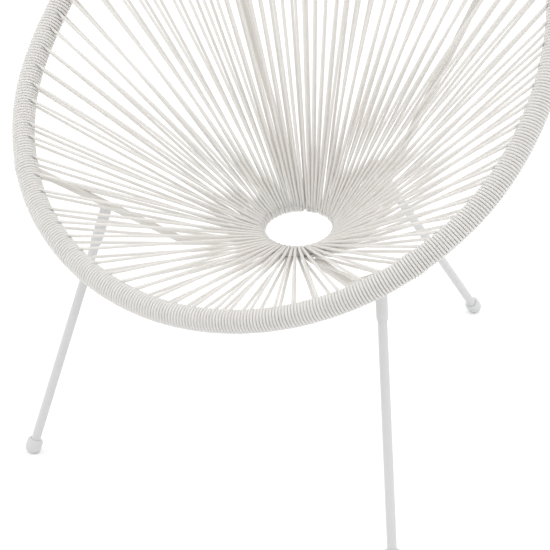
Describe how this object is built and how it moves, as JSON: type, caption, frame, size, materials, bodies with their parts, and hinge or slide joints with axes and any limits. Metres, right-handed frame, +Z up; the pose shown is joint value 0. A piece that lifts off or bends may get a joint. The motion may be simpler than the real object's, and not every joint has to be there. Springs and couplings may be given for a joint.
{
  "type": "acapulco chair",
  "caption": "Pear-shaped string lounge chair: cords laced from a wound steel hoop to a small ring form a bucket seat on three splayed rod legs.",
  "frame": {"origin": "on the ground, under the middle of the whole chair's bounding box", "axes": "+Z up, the sitter faces -Y, +X is the sitter's left"},
  "size_m": [0.7389, 0.8082, 0.8684],
  "materials": {
    "frame_powder_coat": "satin off-white powder coat on steel",
    "cord_extruded_pvc": "smooth extruded cord with a soft sheen",
    "foot_moulded_plastic": "moulded, soft sheen",
    "stud_plated_steel": "zinc plated"
  },
  "bodies": {
    "root": {"hoop_tube": "frame_powder_coat", "seat_ring": "frame_powder_coat", "rod_front_left": "frame_powder_coat", "rod_front_right": "frame_powder_coat", "rod_back_left": "frame_powder_coat", "rod_back_right": "frame_powder_coat", "rear_arm": "frame_powder_coat", "socket_front_left": "frame_powder_coat", "stud_front_left": "stud_plated_steel", "leg_front_left": "frame_powder_coat", "foot_front_left": "foot_moulded_plastic", "socket_front_right": "frame_powder_coat", "stud_front_right": "stud_plated_steel", "leg_front_right": "frame_powder_coat", "foot_front_right": "foot_moulded_plastic", "socket_rear": "frame_powder_coat", "stud_rear": "stud_plated_steel", "leg_rear": "frame_powder_coat", "foot_rear": "foot_moulded_plastic", "seat_cord_01": "cord_extruded_pvc", "seat_cord_02": "cord_extruded_pvc", "seat_cord_03": "cord_extruded_pvc", "seat_cord_04": "cord_extruded_pvc", "seat_cord_05": "cord_extruded_pvc", "seat_cord_06": "cord_extruded_pvc", "seat_cord_07": "cord_extruded_pvc", "seat_cord_08": "cord_extruded_pvc", "seat_cord_09": "cord_extruded_pvc", "seat_cord_10": "cord_extruded_pvc", "seat_cord_11": "cord_extruded_pvc", "seat_cord_12": "cord_extruded_pvc", "seat_cord_13": "cord_extruded_pvc", "seat_cord_14": "cord_extruded_pvc", "seat_cord_15": "cord_extruded_pvc", "seat_cord_16": "cord_extruded_pvc", "seat_cord_17": "cord_extruded_pvc", "seat_cord_18": "cord_extruded_pvc", "seat_cord_19": "cord_extruded_pvc", "seat_cord_20": "cord_extruded_pvc", "seat_cord_21": "cord_extruded_pvc", "seat_cord_22": "cord_extruded_pvc", "seat_cord_23": "cord_extruded_pvc", "seat_cord_24": "cord_extruded_pvc", "seat_cord_25": "cord_extruded_pvc", "seat_cord_26": "cord_extruded_pvc", "seat_cord_27": "cord_extruded_pvc", "seat_cord_28": "cord_extruded_pvc", "seat_cord_29": "cord_extruded_pvc", "seat_cord_30": "cord_extruded_pvc", "seat_cord_31": "cord_extruded_pvc", "seat_cord_32": "cord_extruded_pvc", "seat_cord_33": "cord_extruded_pvc", "seat_cord_34": "cord_extruded_pvc", "seat_cord_35": "cord_extruded_pvc", "seat_cord_36": "cord_extruded_pvc", "seat_cord_37": "cord_extruded_pvc", "seat_cord_38": "cord_extruded_pvc", "seat_cord_39": "cord_extruded_pvc", "seat_cord_40": "cord_extruded_pvc"}
  },
  "joints": []
}
